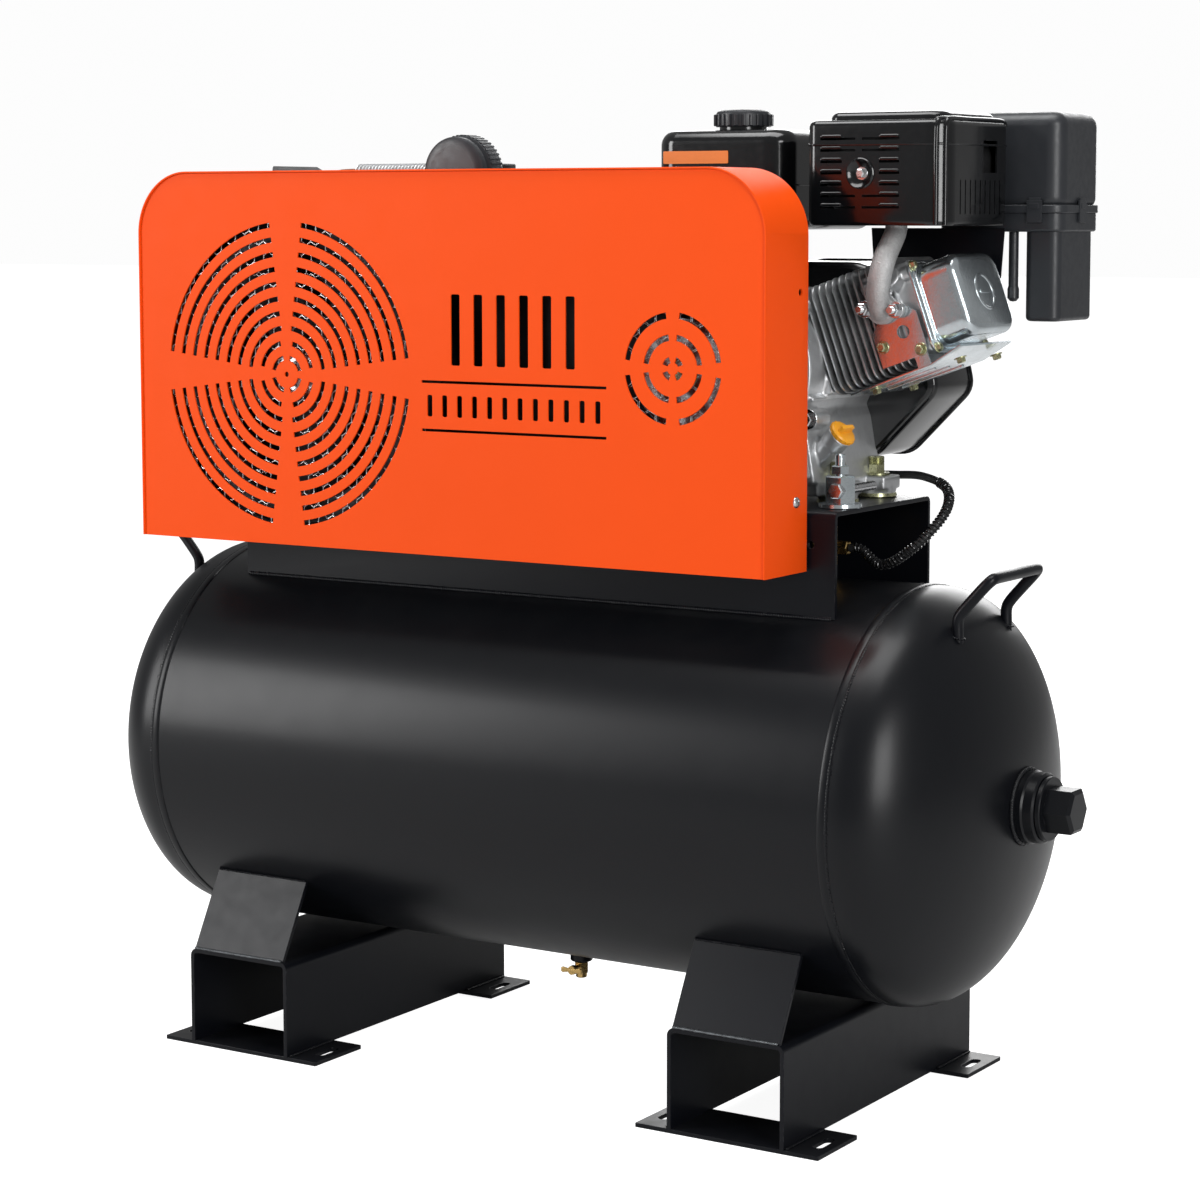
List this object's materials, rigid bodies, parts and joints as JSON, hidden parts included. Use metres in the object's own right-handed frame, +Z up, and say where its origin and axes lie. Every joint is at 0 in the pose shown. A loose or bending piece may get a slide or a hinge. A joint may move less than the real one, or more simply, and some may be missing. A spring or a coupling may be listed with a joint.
{
  "type": "truck-mount air compressor",
  "caption": "Petrol engine driving a V-type piston pump by belts behind an orange guard, on a black horizontal air receiver with bolt-down feet.",
  "frame": {"origin": "middle of the underside, on the floor under the middle of the machine's length and width", "axes": "+X along the receiver toward the engine, -Y toward the belt guard's face, +Z up"},
  "size_m": [1.201, 0.4606, 1.0943],
  "materials": {
    "tank_paint": "semi-gloss black powder coat",
    "frame_paint": "satin black powder coat",
    "guard_paint": "satin orange powder coat",
    "engine_paint": "fine black paint on pressed sheet",
    "pump_iron": "dark painted casting",
    "cast_aluminium": "raw die casting",
    "zinc_sheet": "zinc-plated pressing, slightly blue",
    "bright_steel": "turned and ground",
    "silencer_steel": "heat-resistant dark coating",
    "brass": "machined, slightly dulled",
    "copper_pipe": "drawn copper tube",
    "black_plastic": "fine moulded grain",
    "yellow_plastic": "moulded, satin",
    "red_grip": "dipped vinyl grip",
    "gauge_case": "enamelled case, plain dial",
    "belt_rubber": "fabric-faced rubber",
    "grip_rubber": "moulded rubber, dull"
  },
  "bodies": {
    "root": {"tank_shell": "tank_paint", "tank_head_left": "tank_paint", "tank_head_right": "tank_paint", "end_plug": "tank_paint", "drain_cock": "brass", "handle_right": "frame_paint", "handle_left": "frame_paint", "pilot_valve": "brass", "outlet_manifold": "brass", "gauge_body": "gauge_case", "safety_valve": "brass", "foot_left": "frame_paint", "foot_right": "frame_paint", "platform": "frame_paint", "guard_band": "guard_paint", "guard_front": "guard_paint", "guard_back": "frame_paint", "pump_crankcase": "pump_iron", "pump_cylinder_low": "pump_iron", "pump_cylinder_high": "pump_iron", "pump_head_low": "pump_iron", "pump_head_high": "pump_iron", "inlet_filter": "black_plastic", "intercooler": "cast_aluminium", "pump_crank_pin": "bright_steel", "pump_piston_low": "cast_aluminium", "pump_piston_high": "cast_aluminium", "drive_belt": "belt_rubber", "check_valve": "brass", "delivery_pipe": "copper_pipe", "engine_head": "cast_aluminium", "rocker_cover": "zinc_sheet", "cylinder_shroud": "zinc_sheet", "engine_piston": "cast_aluminium", "engine_crankcase": "cast_aluminium", "engine_side_cover": "cast_aluminium", "blower_housing": "engine_paint", "recoil_housing": "engine_paint", "silencer": "silencer_steel", "silencer_shield": "engine_paint", "exhaust_elbow": "cast_aluminium", "carburettor": "cast_aluminium", "air_cleaner_base": "black_plastic", "air_cleaner_cover": "black_plastic", "fuel_tank": "engine_paint", "throttle_cable": "grip_rubber"},
    "pump_rotor": {"flywheel": "pump_iron", "pump_crankshaft": "bright_steel"},
    "engine_rotor": {"engine_pulley": "pump_iron", "engine_crank_front": "bright_steel", "fan_flywheel": "cast_aluminium"},
    "fuel_cap": {"fuel_cap": "black_plastic"},
    "oil_cap": {"oil_cap": "yellow_plastic"},
    "starter_grip": {"starter_grip": "grip_rubber"},
    "throttle_lever": {"throttle_lever": "zinc_sheet"},
    "drain_key": {"drain_cock_key": "brass"},
    "safety_ring": {"safety_ring": "bright_steel"},
    "outlet_lever": {"outlet_lever": "red_grip"},
    "gauge_needle": {"gauge_needle": "frame_paint"}
  },
  "joints": [
    {"name": "flywheel_spin", "type": "hinge", "parent": "root", "child": "pump_rotor", "pos_m": [-0.2895, -0.00072, 0.796], "axis": [0, 1, 0], "continuous": true},
    {"name": "engine_spin", "type": "hinge", "parent": "root", "child": "engine_rotor", "pos_m": [0.2235, -0.00072, 0.81], "axis": [0, 1, 0], "continuous": true},
    {"name": "fuel_cap_turn", "type": "hinge", "parent": "root", "child": "fuel_cap", "pos_m": [0.1555, 0.05928, 1.074], "axis": [0, 0, 1], "range_deg": [0, 90]},
    {"name": "oil_cap_turn", "type": "hinge", "parent": "root", "child": "oil_cap", "pos_m": [0.3355, -0.04172, 0.741], "axis": [0.7346, -0.108, 0.6698], "range_deg": [0, 180]},
    {"name": "starter_pull", "type": "slide", "parent": "root", "child": "starter_grip", "axis": [-1, 0, 0], "range_m": [0, 0.12], "stiffness_N_per_m": 60},
    {"name": "throttle_swing", "type": "hinge", "parent": "root", "child": "throttle_lever", "pos_m": [0.0999, 0.14928, 0.83], "axis": [1, 0, 0], "range_deg": [-15, 15]},
    {"name": "drain_turn", "type": "hinge", "parent": "root", "child": "drain_key", "pos_m": [-0.0245, -0.01972, 0.1], "axis": [0, -1, 0], "range_deg": [0, 90]},
    {"name": "safety_pull", "type": "slide", "parent": "root", "child": "safety_ring", "axis": [0, 0, 1], "range_m": [0, 0.004], "stiffness_N_per_m": 1500},
    {"name": "outlet_turn", "type": "hinge", "parent": "root", "child": "outlet_lever", "pos_m": [0.2345, 0.14928, 0.577], "axis": [0, 0, 1], "range_deg": [0, 90]},
    {"name": "needle_swing", "type": "hinge", "parent": "root", "child": "gauge_needle", "pos_m": [0.0585, 0.15478, 0.60117], "axis": [0, -1, 0], "range_deg": [0, 270]}
  ],
  "couplings": [
    {"joint": "engine_spin", "follows": "flywheel_spin", "ratio": 3.0364}
  ]
}
